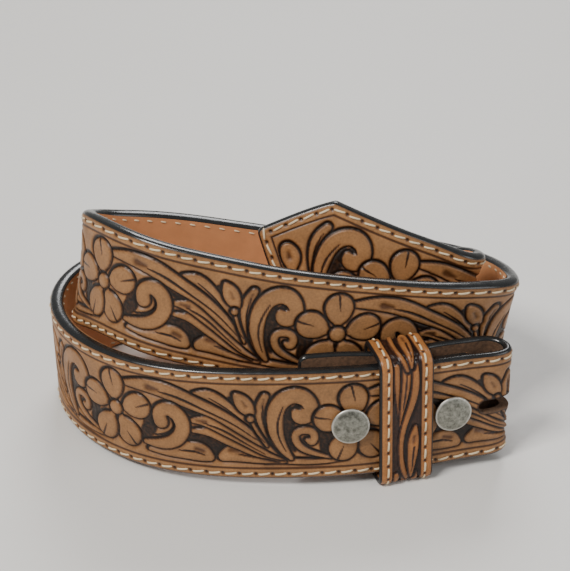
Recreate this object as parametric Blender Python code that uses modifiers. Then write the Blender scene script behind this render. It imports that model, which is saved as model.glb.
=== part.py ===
"""Western leather belt strap, coiled on its edge, with a snap end and a keeper.

The strap stands on its lower edge and winds one and three quarter turns: the
flap behind the front, the fold for a buckle's bar, the lower turn, the upper
turn that climbs inside it, and the pointed tip that crosses the coil.
All lengths are in metres, +Z is up, and the coil's front faces -Y.
"""
import math
from collections import namedtuple

import bmesh
import bpy
import numpy as np
from mathutils import Matrix, Vector

# Strap and lining
BELT_WIDTH = 0.0381
STRAP_THICKNESS = 0.0029
LINING_THICKNESS = 0.0011
LAYER_GAP = 0.0004

# Coil, measured over the lower turn
COIL_WIDTH = 0.150
COIL_DEPTH = 0.100

# Ends of the strap
TIP_TAPER = 0.0185
TIP_CONVEXITY = 1.15
TIP_NOSE = 0.0016
FLAP_CORNER = 0.003

# The lining starts this far before the right snap
LINING_MARGIN = 0.0055

# Holes of the strap
SLOT_LENGTH = 0.0074
SLOT_HEIGHT = 0.005
HOLE_DIAMETER = 0.0045
HOLE_PITCH = 0.0254
HOLE_COUNT = 5
FIRST_HOLE_FROM_TIP = 0.115

# Snaps. Their places are given as shares of the coil's width from its middle line, to the right
SNAP_SHARES = {"left": 0.1346, "right": 0.3478}
CAP_DIAMETER = 0.0121
CAP_RISE = 0.0021
CAP_RIM = 0.0007
POST_DIAMETER = 0.0034
SOCKET_DIAMETER = 0.0096
SOCKET_HEIGHT = 0.0011
SOCKET_FLOOR = 0.0004
SOCKET_CUP_DIAMETER = 0.0058
STUD_DIAMETER = 0.0084
STUD_FLANGE = 0.0004
STUD_NOSE_DIAMETER = 0.005
RIVET_DIAMETER = 0.009
RIVET_RISE = 0.001
RIVET_RIM = 0.0004
RIVET_POST_DIAMETER = 0.003

# Keeper. Its place is given as a share of the coil's width, as the snaps' are
KEEPER_SHARE = 0.2443
KEEPER_WIDTH = 0.0175
KEEPER_THICKNESS = 0.0022
KEEPER_FRONT_CLEARANCE = 0.0011
KEEPER_BACK_CLEARANCE = 0.0022
KEEPER_TOP_CLEARANCE = 0.0013
KEEPER_CORNER = 0.0018
KEEPER_YAW = math.radians(4)

# Fineness of the faceted surfaces
FACET_SAG = 0.00006
SHORTEST_STEP = 0.0012
LONGEST_STEP = 0.0075
COLUMNS = 4
TURNED_STEPS = 24
CORNER_SHARES = (0.0, 0.2, 0.5, 1.0)
TAPER_SHARES = (1.0, 0.8, 0.6, 0.4, 0.2, 0.07, 0.0)
SLOT_END_POINTS = 9
CAP_POINTS = 6
RIVET_POINTS = 5
KEEPER_CORNER_POINTS = 6
MERGE_DISTANCE = 0.00001

# Sampling of the strap's path
ROUTE_SAMPLES = 4000
KNOT_POWER = 0.8
LEAST_BEND = 0.000001
FLAP_SEARCH_SHARE = 0.9
FLAP_SEARCH_STEP = 0.0002

WALL = STRAP_THICKNESS + LAYER_GAP + LINING_THICKNESS
HALF_WIDTH = BELT_WIDTH / 2
SLOT_REACH = 1.75 * WALL

# The middle line of the carved face, from the flap's end to the point of the tip.
# across: share of the coil's width from its middle line, to the right
# back: share of the coil's depth from its front
# inset: wall thicknesses moved in from there, toward the coil's middle
# rise: share of the belt's width that the lower edge stands above the table
# lean: degrees that the upper edge leans away from the carved face's side
Station = namedtuple("Station", "across back inset rise lean")
STATIONS = (
    Station(0.029, 0.020, 2.10, 0.101, -5.5),
    Station(0.133, 0.026, 2.45, 0.100, -5.5),
    Station(0.246, 0.058, 2.08, 0.098, -4.5),
    Station(0.347, 0.101, 2.40, 0.101, -3.0),
    Station(0.420, 0.148, 2.20, 0.098, -2.0),
    Station(0.460, 0.190, 1.60, 0.093, -1.0),
    Station(0.480, 0.192, 0.80, 0.088, 0.0),
    Station(0.471, 0.170, 0.00, 0.085, 0.0),
    Station(0.448, 0.136, 0.00, 0.083, 1.0),
    Station(0.400, 0.116, 0.00, 0.083, 2.0),
    Station(0.333, 0.090, 0.00, 0.083, 3.0),
    Station(0.227, 0.052, 0.00, 0.083, 4.5),
    Station(0.113, 0.025, 0.00, 0.083, 5.5),
    Station(-0.040, 0.018, 0.00, 0.075, 5.5),
    Station(-0.180, 0.040, 0.00, 0.059, 4.5),
    Station(-0.300, 0.100, 0.00, 0.041, 2.5),
    Station(-0.400, 0.206, 0.00, 0.022, 0.5),
    Station(-0.473, 0.345, 0.00, 0.009, -1.0),
    Station(-0.511, 0.520, 0.00, 0.004, -1.0),
    Station(-0.493, 0.700, 0.00, 0.000, 0.0),
    Station(-0.420, 0.840, 0.00, 0.000, 0.0),
    Station(-0.293, 0.940, 0.00, 0.000, 0.0),
    Station(-0.120, 0.985, 0.00, 0.000, 0.0),
    Station(0.067, 0.980, 0.00, 0.012, -1.0),
    Station(0.240, 0.910, 0.00, 0.051, -3.0),
    Station(0.373, 0.785, 0.00, 0.125, -5.0),
    Station(0.453, 0.630, 0.00, 0.219, -6.0),
    Station(0.480, 0.475, 0.00, 0.319, -7.0),
    Station(0.489, 0.345, 1.00, 0.408, -8.0),
    Station(0.458, 0.209, 2.80, 0.495, -8.0),
    Station(0.368, 0.121, 3.45, 0.553, -5.0),
    Station(0.231, 0.053, 3.65, 0.631, 1.0),
    Station(0.100, 0.023, 3.50, 0.711, 5.0),
    Station(-0.038, 0.024, 3.10, 0.803, 7.0),
    Station(-0.171, 0.064, 2.40, 0.902, 8.0),
    Station(-0.289, 0.136, 1.65, 0.975, 9.0),
    Station(-0.362, 0.195, 1.60, 1.007, 9.0),
    Station(-0.429, 0.269, 1.95, 0.996, 9.0),
    Station(-0.474, 0.370, 1.95, 0.944, 9.0),
    Station(-0.485, 0.488, 1.50, 0.860, 9.0),
    Station(-0.455, 0.603, 1.20, 0.773, 7.0),
    Station(-0.381, 0.692, 1.20, 0.692, 5.0),
    Station(-0.268, 0.740, 1.20, 0.610, 3.0),
    Station(-0.139, 0.754, 1.20, 0.529, 2.0),
    Station(0.015, 0.739, 1.20, 0.455, 0.0),
    Station(0.179, 0.680, 1.20, 0.408, -2.0),
    Station(0.312, 0.594, 1.20, 0.408, -4.0),
    Station(0.385, 0.555, 1.40, 0.434, -4.0),
    Station(0.436, 0.520, 1.85, 0.471, -4.0),
    Station(0.456, 0.446, 2.00, 0.524, -5.0),
    Station(0.452, 0.362, 2.35, 0.584, -6.0),
    Station(0.409, 0.312, 2.35, 0.652, -5.0),
    Station(0.306, 0.356, 0.00, 0.728, 1.0),
    Station(0.220, 0.338, 0.00, 0.880, 10.0),
    Station(0.093, 0.354, 0.00, 1.090, 17.0),
    Station(-0.057, 0.410, 0.00, 1.320, 20.0),
)


def station_point(station):
    """World point and lean of one row of the table."""
    x = station.across * COIL_WIDTH
    y = station.back * COIL_DEPTH
    inward = Vector((-x / (COIL_WIDTH / 2) ** 2, -(y - COIL_DEPTH / 2) / (COIL_DEPTH / 2) ** 2))
    inward.normalize()
    shift = station.inset * WALL
    z = HALF_WIDTH + station.rise * BELT_WIDTH
    return (x + shift * inward.x, y + shift * inward.y, z, math.radians(station.lean))


def natural_spline(knots, values, samples):
    """Natural cubic spline through rows of values, read at the samples."""
    count = len(knots)
    gaps = np.diff(knots)
    matrix = np.eye(count)
    right = np.zeros_like(values)
    for i in range(1, count - 1):
        matrix[i, i - 1:i + 2] = gaps[i - 1], 2 * (gaps[i - 1] + gaps[i]), gaps[i]
        right[i] = 6 * ((values[i + 1] - values[i]) / gaps[i] - (values[i] - values[i - 1]) / gaps[i - 1])
    bend = np.linalg.solve(matrix, right)
    k = np.clip(np.searchsorted(knots, samples) - 1, 0, count - 2)
    d = (samples - knots[k])[:, None]
    gap = gaps[k][:, None]
    slope = (values[k + 1] - values[k]) / gap - gap * (2 * bend[k] + bend[k + 1]) / 6
    return values[k] + d * slope + d ** 2 * bend[k] / 2 + d ** 3 * (bend[k + 1] - bend[k]) / (6 * gap)


class Route:
    """The strap's path, read by the distance along it from the flap's end."""

    def __init__(self):
        rows = np.array([station_point(station) for station in STATIONS])
        chords = np.linalg.norm(np.diff(rows[:, :3], axis=0), axis=1)
        knots = np.concatenate([[0], np.cumsum(chords ** KNOT_POWER)])
        dense = natural_spline(knots, rows, np.linspace(0, knots[-1], ROUTE_SAMPLES))
        steps = np.linalg.norm(np.diff(dense[:, :3], axis=0), axis=1)
        lengths = np.concatenate([[0], np.cumsum(steps)])
        self.length = float(lengths[-1])
        self.distances = np.linspace(0, self.length, ROUTE_SAMPLES)
        even = np.column_stack([np.interp(self.distances, lengths, column) for column in dense.T])
        self.points = even[:, :3]
        self.along = self.unit(np.gradient(self.points, self.distances, axis=0))
        self.bends = np.linalg.norm(np.gradient(self.along, self.distances, axis=0), axis=1)
        upright = np.array([0.0, 0.0, 1.0])
        upright = self.unit(upright - (self.along @ upright)[:, None] * self.along)
        inward = np.cross(self.along, upright)
        lean = even[:, 3:]
        self.up = np.cos(lean) * upright + np.sin(lean) * inward
        self.twist = np.gradient(self.up, self.distances, axis=0)
        self.fold = float(self.distances[self.first_turn(0, -1)])

    def first_turn(self, start, direction):
        """First sample past a start where the path runs right (1) or left (-1)."""
        runs = direction * np.diff(self.points[start:, 0])
        return start + int(np.flatnonzero(runs > 0)[0])

    def front_distance(self, across):
        """Distance on the lower front at a share of the coil's width from its middle line."""
        first = self.first_turn(0, -1)
        last = self.first_turn(first, 1)
        leftward = -self.points[first:last, 0]
        return float(np.interp(-across * COIL_WIDTH, leftward, self.distances[first:last]))

    @staticmethod
    def unit(vectors):
        return vectors / np.linalg.norm(vectors, axis=1)[:, None]

    def read(self, field, distance):
        return Vector([np.interp(distance, self.distances, column) for column in field.T])

    def place(self, distance, across=0.0, depth=0.0):
        """Point on the strap: across its width, and depth in from the carved face."""
        up = self.read(self.up, distance)
        run = self.read(self.along, distance) + across * self.read(self.twist, distance)
        return self.read(self.points, distance) + across * up + depth * run.cross(up).normalized()

    def frame(self, distance, depth=0.0, across=0.0):
        """Matrix on the strap, with local Z pointing out of the carved face and local Y up."""
        along = self.read(self.along, distance).normalized()
        outward = self.read(self.up, distance).cross(along).normalized()
        up = along.cross(outward)
        up.negate()
        axes = Matrix((up.cross(outward), up, outward)).transposed().to_4x4()
        return Matrix.Translation(self.place(distance, across, depth)) @ axes

    def step(self, distance):
        """Longest step that keeps a facet's sag small at this bend."""
        bend = max(float(np.interp(distance, self.distances, self.bends)), LEAST_BEND)
        return min(max(math.sqrt(8 * FACET_SAG / bend), SHORTEST_STEP), LONGEST_STEP)


def make_material(name, colour, roughness, metallic=0.0):
    material = bpy.data.materials.new(name)
    material.use_nodes = True
    shader = material.node_tree.nodes["Principled BSDF"]
    shader.inputs["Base Color"].default_value = (*colour, 1.0)
    shader.inputs["Roughness"].default_value = roughness
    shader.inputs["Metallic"].default_value = metallic
    material.diffuse_color = (*colour, 1.0)
    return material


def add_object(name, mesh, collection, material=None):
    obj = bpy.data.objects.new(name, mesh)
    collection.objects.link(obj)
    if material:
        mesh.materials.append(material)
    return obj


def add_solidify(obj, thickness, offset):
    """Wall on one side of an open surface: offset -1 is against the normals."""
    solidify = obj.modifiers.new("wall", "SOLIDIFY")
    solidify.thickness = thickness
    solidify.offset = offset
    solidify.use_even_offset = True


def add_cut(obj, cutter):
    cut = obj.modifiers.new("cut " + cutter.name, "BOOLEAN")
    cut.operation = "DIFFERENCE"
    cut.solver = "EXACT"
    cut.object = cutter


def half_width(distance, route):
    """Half of the strap's width, narrowed at the flap's corners and at the tip."""
    from_tip = route.length - distance
    if from_tip < TIP_TAPER:
        grown = 1 - (1 - from_tip / TIP_TAPER) ** TIP_CONVEXITY
        return TIP_NOSE / 2 + (HALF_WIDTH - TIP_NOSE / 2) * grown
    if distance < FLAP_CORNER:
        left = 1 - distance / FLAP_CORNER
        return HALF_WIDTH - FLAP_CORNER * (1 - math.sqrt(1 - left ** 2))
    return HALF_WIDTH


def row_distances(route, start):
    """Distances of the cross rows from a start to the tip, close where the path bends."""
    corner = [FLAP_CORNER * share for share in CORNER_SHARES] if start == 0 else [start]
    rows = corner
    taper_start = route.length - TIP_TAPER
    while rows[-1] + route.step(rows[-1]) < taper_start - SHORTEST_STEP:
        rows.append(rows[-1] + route.step(rows[-1]))
    rows += [route.length - TIP_TAPER * share for share in TAPER_SHARES]
    return rows


def make_band(name, route, start, depth, thickness, material, collection):
    """A layer of the belt: a grid laid along the route, with a wall added inward."""
    rows = row_distances(route, start)
    last = len(rows) - 1
    shape = bmesh.new()
    bmesh.ops.create_grid(shape, x_segments=last, y_segments=COLUMNS, size=1.0)
    for vertex in shape.verts:
        distance = rows[round((vertex.co.x + 1) / 2 * last)]
        vertex.co = route.place(distance, vertex.co.y * half_width(distance, route), depth)
    mesh = bpy.data.meshes.new(name)
    shape.to_mesh(mesh)
    shape.free()
    band = add_object(name, mesh, collection, material)
    outward = route.frame(rows[0]).to_3x3() @ Vector((0, 0, 1))
    facing_out = mesh.polygons[0].normal.dot(outward) > 0
    if not facing_out:
        mesh.flip_normals()
    mesh.shade_smooth()
    add_solidify(band, thickness, -1.0)
    return band


def round_cutter(name, diameter, matrix, depth, collection):
    """Punch that passes through a wall of a given depth below the matrix."""
    shape = bmesh.new()
    reach = depth + 2 * WALL
    bmesh.ops.create_cone(shape, cap_ends=True, segments=TURNED_STEPS, radius1=diameter / 2,
                          radius2=diameter / 2, depth=reach)
    bmesh.ops.translate(shape, verts=shape.verts, vec=(0, 0, -depth / 2))
    mesh = bpy.data.meshes.new(name)
    shape.to_mesh(mesh)
    shape.free()
    cutter = add_object(name, mesh, collection)
    cutter.matrix_world = matrix
    hide_guide(cutter)
    return cutter


def hide_guide(cutter):
    cutter.hide_render = True
    cutter.display_type = "WIRE"


def slot_cutter(route, collection):
    """Slot for a buckle's tongue, round at its inner end, out through the fold."""
    fold = route.place(route.fold, 0.0, STRAP_THICKNESS)
    radius = SLOT_HEIGHT / 2
    curve = bpy.data.curves.new("slot outline", "CURVE")
    curve.dimensions = "2D"
    curve.fill_mode = "BOTH"
    curve.extrude = SLOT_REACH
    centre = fold.x - SLOT_LENGTH + radius
    round_end = [(centre - radius * math.sin(angle), radius * math.cos(angle))
                 for angle in np.linspace(0, math.pi, SLOT_END_POINTS)]
    end = fold.x + 2 * WALL
    outline = round_end + [(end, -radius), (end, radius)]
    spline = curve.splines.new("POLY")
    spline.points.add(len(outline) - 1)
    for point, (x, y) in zip(spline.points, outline):
        point.co = (x, y, 0, 1)
    spline.use_cyclic_u = True
    guide = bpy.data.objects.new("slot curve", curve)
    collection.objects.link(guide)
    guide.matrix_world = Matrix.Translation((0, fold.y, fold.z)) @ Matrix.Rotation(math.pi / 2, 4, "X")
    bpy.context.view_layer.update()
    mesh = bpy.data.meshes.new_from_object(guide.evaluated_get(bpy.context.evaluated_depsgraph_get()))
    shape = bmesh.new()
    shape.from_mesh(mesh)
    bmesh.ops.remove_doubles(shape, verts=shape.verts, dist=MERGE_DISTANCE)
    bmesh.ops.recalc_face_normals(shape, faces=shape.faces)
    shape.to_mesh(mesh)
    shape.free()
    cutter = add_object("tongue slot cutter", mesh, collection)
    cutter.matrix_world = guide.matrix_world.copy()
    bpy.data.objects.remove(guide)
    hide_guide(cutter)
    return cutter


def turned(name, profile, matrix, material, collection):
    """Round piece from a profile of (radius, height) that runs down its outer side."""
    mesh = bpy.data.meshes.new(name)
    edges = [(i, i + 1) for i in range(len(profile) - 1)]
    if profile[0][0] > 0:
        edges.append((len(profile) - 1, 0))
    mesh.from_pydata([(radius, 0, height) for radius, height in profile], edges, [])
    piece = add_object(name, mesh, collection, material)
    piece.matrix_world = matrix
    screw = piece.modifiers.new("turn", "SCREW")
    screw.steps = TURNED_STEPS
    screw.render_steps = TURNED_STEPS
    screw.use_merge_vertices = True
    screw.merge_threshold = MERGE_DISTANCE
    screw.use_smooth_shade = False
    return piece


def flap_hit(route, front):
    """Where the axis of a front snap meets the flap's inner face: distance, and how far across."""
    axis = front.to_3x3() @ Vector((0, 0, 1))

    def off_axis(distance):
        offset = route.place(distance, 0.0, STRAP_THICKNESS) - front.translation
        return offset - offset.dot(axis) * axis

    def miss(distance):
        return abs(off_axis(distance).dot(route.read(route.along, distance)))

    searched = FLAP_SEARCH_SHARE * route.fold
    choices = [index * FLAP_SEARCH_STEP for index in range(round(searched / FLAP_SEARCH_STEP))]
    distance = min(choices, key=miss)
    return distance, -off_axis(distance).dot(route.read(route.up, distance))


def cap_profile(post_end):
    radius = CAP_DIAMETER / 2
    post = POST_DIAMETER / 2
    foot = LAYER_GAP
    dome = [(radius * math.sin(angle), foot + CAP_RIM + (CAP_RISE - CAP_RIM) * math.cos(angle))
            for angle in np.linspace(0, math.pi / 2, CAP_POINTS)]
    below = [(radius, foot), (post, foot), (post, post_end), (0.0, post_end)]
    return [(0.0, foot + CAP_RISE)] + dome[1:] + below


def socket_profile():
    outer = SOCKET_DIAMETER / 2
    cup = SOCKET_CUP_DIAMETER / 2
    bore = POST_DIAMETER / 2 + LAYER_GAP
    top = -LAYER_GAP
    floor = top - SOCKET_FLOOR
    foot = top - SOCKET_HEIGHT
    return [(bore, top), (outer, top), (outer, foot), (cup, foot), (cup, floor), (bore, floor)]


def stud_profile(nose_end):
    outer = STUD_DIAMETER / 2
    nose = STUD_NOSE_DIAMETER / 2
    bore = RIVET_POST_DIAMETER / 2 + LAYER_GAP
    seat = -LAYER_GAP
    flange = seat - STUD_FLANGE
    return [(bore, seat), (outer, seat), (outer, flange), (nose, flange), (nose, nose_end), (bore, nose_end)]


def rivet_profile():
    radius = RIVET_DIAMETER / 2
    post = RIVET_POST_DIAMETER / 2
    foot = STRAP_THICKNESS + LAYER_GAP
    post_end = -LAYER_GAP - STUD_FLANGE
    dome = [(radius * math.sin(angle), foot + RIVET_RIM + (RIVET_RISE - RIVET_RIM) * math.cos(angle))
            for angle in np.linspace(0, math.pi / 2, RIVET_POINTS)]
    below = [(radius, foot), (post, foot), (post, post_end), (0.0, post_end)]
    return [(0.0, foot + RIVET_RISE)] + dome[1:] + below


def make_snap(side, route, strap, lining, materials, collection, guides):
    """One snap: cap and socket on the front, stud and rivet on the flap behind it."""
    place = route.front_distance(SNAP_SHARES[side])
    front = route.frame(place)
    lining_face = route.frame(place, WALL)
    flap_distance, across = flap_hit(route, front)
    flap = route.frame(flap_distance, STRAP_THICKNESS, across)
    nickel = materials["nickel"]
    post_end = -WALL - LAYER_GAP - SOCKET_FLOOR
    turned("snap_cap_" + side, cap_profile(post_end), front, nickel, collection)
    turned("snap_socket_" + side, socket_profile(), lining_face, nickel, collection)
    space = (flap.translation - lining_face.translation).length
    nose_end = -(space - LAYER_GAP - SOCKET_FLOOR - 2 * LAYER_GAP)
    turned("snap_stud_" + side, stud_profile(nose_end), flap, nickel, collection)
    turned("snap_rivet_" + side, rivet_profile(), flap, nickel, collection)
    post_hole = POST_DIAMETER + 2 * LAYER_GAP
    front_punch = round_cutter("cap hole " + side, post_hole, front, WALL, guides)
    add_cut(strap, front_punch)
    add_cut(lining, front_punch)
    rivet_hole = RIVET_POST_DIAMETER + 2 * LAYER_GAP
    flap_punch = round_cutter("rivet hole " + side, rivet_hole, flap, 0.0, guides)
    add_cut(strap, flap_punch)


def keeper_outline(inner_front, inner_back, inner_foot, inner_top):
    """Rounded loop of (depth, height) points on the keeper's inner face."""
    corners = ((inner_back, inner_top, 0), (inner_front, inner_top, 1),
               (inner_front, inner_foot, 2), (inner_back, inner_foot, 3))
    outline = []
    for depth, height, quarter in corners:
        centre_depth = depth - KEEPER_CORNER if depth == inner_back else depth + KEEPER_CORNER
        centre_height = height - KEEPER_CORNER if height == inner_top else height + KEEPER_CORNER
        for angle in np.linspace(quarter * math.pi / 2, (quarter + 1) * math.pi / 2, KEEPER_CORNER_POINTS):
            outline.append((centre_depth + KEEPER_CORNER * math.cos(angle),
                            centre_height + KEEPER_CORNER * math.sin(angle)))
    return outline


def make_keeper(route, material, collection):
    """Loose loop round the front and the flap, standing on its lower side."""
    place = route.front_distance(KEEPER_SHARE)
    front = route.frame(place)
    outward = front.to_3x3() @ Vector((0, 0, 1))
    flap_distance, across = flap_hit(route, front)
    flap_back = route.place(flap_distance, across, 0.0)
    stack = (flap_back - front.translation).length
    up = route.read(route.up, place)
    belt_top = max(route.place(place, HALF_WIDTH).z, route.place(flap_distance, HALF_WIDTH).z)
    outline = keeper_outline(-KEEPER_FRONT_CLEARANCE, stack + KEEPER_BACK_CLEARANCE, KEEPER_THICKNESS,
                             belt_top + KEEPER_TOP_CLEARANCE)
    yaw = Matrix.Rotation(KEEPER_YAW, 3, "Z")
    inward = yaw @ Vector((-outward.x, -outward.y, 0)).normalized()
    sideways = Vector((inward.y, -inward.x, 0))
    lean = up.dot(inward) / up.z
    middle = stack / 2
    centre = front.translation + middle * Vector((-outward.x, -outward.y, 0)).normalized()
    shape = bmesh.new()
    ring = []
    for depth, height in outline:
        point = centre + (depth - middle + lean * (height - centre.z)) * inward
        point.z = height
        ring.append(shape.verts.new(point - KEEPER_WIDTH / 2 * sideways))
    edges = [shape.edges.new((ring[i], ring[(i + 1) % len(ring)])) for i in range(len(ring))]
    swept = bmesh.ops.extrude_edge_only(shape, edges=edges)
    moved = [item for item in swept["geom"] if isinstance(item, bmesh.types.BMVert)]
    bmesh.ops.translate(shape, verts=moved, vec=KEEPER_WIDTH * sideways)
    mesh = bpy.data.meshes.new("keeper")
    shape.to_mesh(mesh)
    shape.free()
    keeper = add_object("keeper", mesh, collection, material)
    first = mesh.polygons[0]
    if first.normal.dot(first.center - centre) < 0:
        mesh.flip_normals()
    add_solidify(keeper, KEEPER_THICKNESS, 1.0)
    return keeper


def stand_on_origin(collection):
    """Move the pieces so that the middle of the whole box's foot is the origin."""
    bpy.context.view_layer.update()
    depsgraph = bpy.context.evaluated_depsgraph_get()
    corners = []
    for obj in collection.objects:
        shaped = obj.evaluated_get(depsgraph)
        corners += [obj.matrix_world @ vertex.co for vertex in shaped.data.vertices]
    low = Vector([min(corner[i] for corner in corners) for i in range(3)])
    high = Vector([max(corner[i] for corner in corners) for i in range(3)])
    shift = Matrix.Translation((-(low.x + high.x) / 2, -(low.y + high.y) / 2, -low.z))
    for obj in bpy.data.objects:
        obj.matrix_world = shift @ obj.matrix_world
    bpy.context.view_layer.update()


def main():
    for obj in list(bpy.data.objects):
        bpy.data.objects.remove(obj)
    belt = bpy.data.collections.new("western belt")
    guides = bpy.data.collections.new("cutters")
    bpy.context.scene.collection.children.link(belt)
    bpy.context.scene.collection.children.link(guides)
    materials = {
        "carved leather": make_material("carved leather", (0.36, 0.19, 0.09), 0.45),
        "lining leather": make_material("lining leather", (0.66, 0.30, 0.13), 0.5),
        "keeper leather": make_material("keeper leather", (0.42, 0.20, 0.08), 0.4),
        "nickel": make_material("antique nickel", (0.52, 0.52, 0.48), 0.35, 1.0),
    }
    route = Route()
    strap = make_band("strap", route, 0, 0.0, STRAP_THICKNESS, materials["carved leather"], belt)
    lining_start = route.front_distance(SNAP_SHARES["right"]) - LINING_MARGIN
    lining = make_band("lining", route, lining_start, STRAP_THICKNESS + LAYER_GAP, LINING_THICKNESS,
                       materials["lining leather"], belt)
    add_cut(strap, slot_cutter(route, guides))
    for side in SNAP_SHARES:
        make_snap(side, route, strap, lining, materials, belt, guides)
    for index in range(HOLE_COUNT):
        distance = route.length - FIRST_HOLE_FROM_TIP - index * HOLE_PITCH
        punch = round_cutter(f"hole {index + 1}", HOLE_DIAMETER, route.frame(distance), WALL, guides)
        add_cut(strap, punch)
        add_cut(lining, punch)
    make_keeper(route, materials["keeper leather"], belt)
    stand_on_origin(belt)


main()
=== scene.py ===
"""Looks of the western belt strap: carved leather, painted edges, stitches, lining, keeper and caps."""
import math
from collections import namedtuple

import bpy
import numpy as np
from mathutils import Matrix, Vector, geometry, kdtree


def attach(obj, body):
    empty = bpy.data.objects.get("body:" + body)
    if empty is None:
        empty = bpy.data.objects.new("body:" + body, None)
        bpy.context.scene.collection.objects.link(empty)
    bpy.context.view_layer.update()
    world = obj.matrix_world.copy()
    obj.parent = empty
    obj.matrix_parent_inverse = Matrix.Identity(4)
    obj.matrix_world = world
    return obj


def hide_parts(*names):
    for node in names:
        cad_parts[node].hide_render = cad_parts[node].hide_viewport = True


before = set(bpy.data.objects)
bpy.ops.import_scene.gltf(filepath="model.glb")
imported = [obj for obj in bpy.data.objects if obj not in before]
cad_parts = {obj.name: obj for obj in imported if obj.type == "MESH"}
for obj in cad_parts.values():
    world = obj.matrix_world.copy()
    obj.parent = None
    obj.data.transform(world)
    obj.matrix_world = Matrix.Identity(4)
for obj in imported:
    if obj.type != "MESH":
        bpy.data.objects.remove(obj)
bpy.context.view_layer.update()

# The model's sizes, in metres, as in the part's source
BELT_WIDTH = 0.0381
HALF_WIDTH = BELT_WIDTH / 2
STRAP_THICKNESS = 0.0029
LINING_THICKNESS = 0.0011
LAYER_GAP = 0.0004
WALL = STRAP_THICKNESS + LAYER_GAP + LINING_THICKNESS
COIL_WIDTH = 0.150
COIL_DEPTH = 0.100
TIP_TAPER = 0.0185
TIP_CONVEXITY = 1.15
TIP_NOSE = 0.0016
FLAP_CORNER = 0.003
LINING_MARGIN = 0.0055
SLOT_LENGTH = 0.0074
SLOT_HEIGHT = 0.005
HOLE_DIAMETER = 0.0045
HOLE_PITCH = 0.0254
HOLE_COUNT = 5
FIRST_HOLE_FROM_TIP = 0.115
SNAP_SHARES = {"left": 0.1346, "right": 0.3478}
KEEPER_SHARE = 0.2443
KEEPER_YAW = math.radians(4)
KEEPER_WIDTH = 0.0175
KEEPER_THICKNESS = 0.0022
CAP_RADIUS = 0.00605
CAP_RISE = 0.0021
ROUTE_SAMPLES = 4000
KNOT_POWER = 0.8

# The camera: metres, an angle, and the lens in millimetres
CAMERA_AIM = (0.001, 0.0144, 0.0360)
CAMERA_DISTANCE = 0.62
CAMERA_PITCH = math.radians(31)
CAMERA_LENS = 117.3

# Fineness of the meshes: steps in metres, and counts
FACE_STEP = 0.00036
FACE_ROWS = 105
FACE_PIECES = 3
PLAIN_STEP = 0.0009
PLAIN_ROWS = 43
EDGE_STEP = 0.0008
EDGE_PROFILE = 10
OUTLINE_STEP = 0.001
CORNER_POINTS = 12
TIP_POINTS = 60
RIM_POINTS = 13
CAP_TURNS = 72
KEEPER_ROWS = 48
KEEPER_EDGE_ROWS = 7
KEEPER_BACK_ROWS = 6
KEEPER_SMOOTHINGS = 4

# The painted edge and the ends of the layers, in metres, the tip's margin as a share of its taper
EDGE_ROUND = 0.0008
EDGE_TUCK = 0.00025
EDGE_SUNK = 0.00022
LAP_LENGTH = 0.0008
FLESH_OVERLAP = 0.001
FOOT_OVERLAP = 0.0001
LINING_SEAM_START = 0.002
LEAST_HALF_WIDTH = 0.00006
TIP_MARGIN = 1.2
FLAP_ZONE = 0.020
TIP_ZONE = 0.045
HOLE_FLAT = 0.0008

# Sewing and border lines, in metres from the strap's outline, the clearance as a share of the inset
STITCH_INSET = 0.0022
STITCH_PITCH = 0.0052
STITCH_SLANT = math.radians(8)
SEAM_CLEARANCE = 0.97
PIT_REACH = 0.001
BORDER_INSET = 0.00415
PATTERN_INSET = 0.0046

# Stitches, in metres: length, half width, rise over the leather, depth of the ends in it
Thread = namedtuple("Thread", "length width lift sink")
FACE_THREAD = Thread(0.0039, 0.00035, 0.00012, 0.0004)
LINING_THREAD = Thread(0.0024, 0.00034, 0.00002, 0.0003)
KEEPER_THREAD = Thread(0.0037, 0.00035, 0.00012, 0.0004)

# Rings along a stitch, as (place, girth) shares of its half length and half width
STITCH_RINGS = ((-1.0, 0.35), (-0.86, 0.8), (-0.5, 1.0), (0.0, 1.0), (0.5, 1.0), (0.86, 0.8), (1.0, 0.35))
STITCH_SIDES = 8
STITCH_FLATNESS = 0.75

# Lines and pits pressed into the leather: depth in millimetres, width in metres, stain from 0 to 1
Mark = namedtuple("Mark", "depth width stain")
BORDER_MARK = Mark(0.34, 0.00030, 0.80)
SEAM_MARK = Mark(0.14, 0.0006, 0.0)
HOLE_MARK = Mark(0.0, 0.0005, 0.8)
PIT_MARK = Mark(0.45, 0.00052, 1.0)
KEEPER_BORDER_MARK = Mark(0.40, 0.00028, 0.90)
KEEPER_SEAM_MARK = Mark(0.12, 0.0006, 0.0)
KEEPER_PIT_MARK = Mark(0.45, 0.00042, 1.0)

# Tools: a height in millimetres or a darkness, with painted shade in that of the cut, the fade and the form's
# shade, in full from the start and gone a reach before it.
# Start and reach are millimetres inside a form's edge, or metres for the last three, the rolled edges.
Tool = namedtuple("Tool", "strength start reach power")
MATTING = Tool(1.0, 0.25, 0.5, 1.0)
# The cut: stains in the cut line, widened with painted shade on its upper left.
CUT_STAIN_AND_SHADE = Tool(1.0, -0.15, 0.75, 1.4)
# The fade: brown going out from the cut over the bevel, stains and painted shade.
FADE_STAIN_AND_SHADE = Tool(0.30, 0.0, 2.0, 1.3)
CROWN = Tool(0.22, 2.2, 2.2, 1.0)
FORM_FALL = Tool(0.46, 0.0, 0.9, 2.0)
FORM_EDGE_STAIN = Tool(0.55, 0.0, 0.35, 1.0)
# Painted shade in from a form's edge, for a rounder look.
FORM_PAINTED_SHADE = Tool(0.20, 0.0, 1.6, 1.0)
KNIFE = Tool(1.0, 0.06, 0.2, 1.0)
PEAR_SHADER = Tool(1.0, 0.9, 1.4, 1.5)
ROLL = Tool(0.26, 0.0, 0.0007, 2.0)
ROLL_STAIN = Tool(0.35, 0.0, 0.0006, 1.0)
KEEPER_ROLL = Tool(0.22, 0.0, 0.0006, 2.0)

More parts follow.
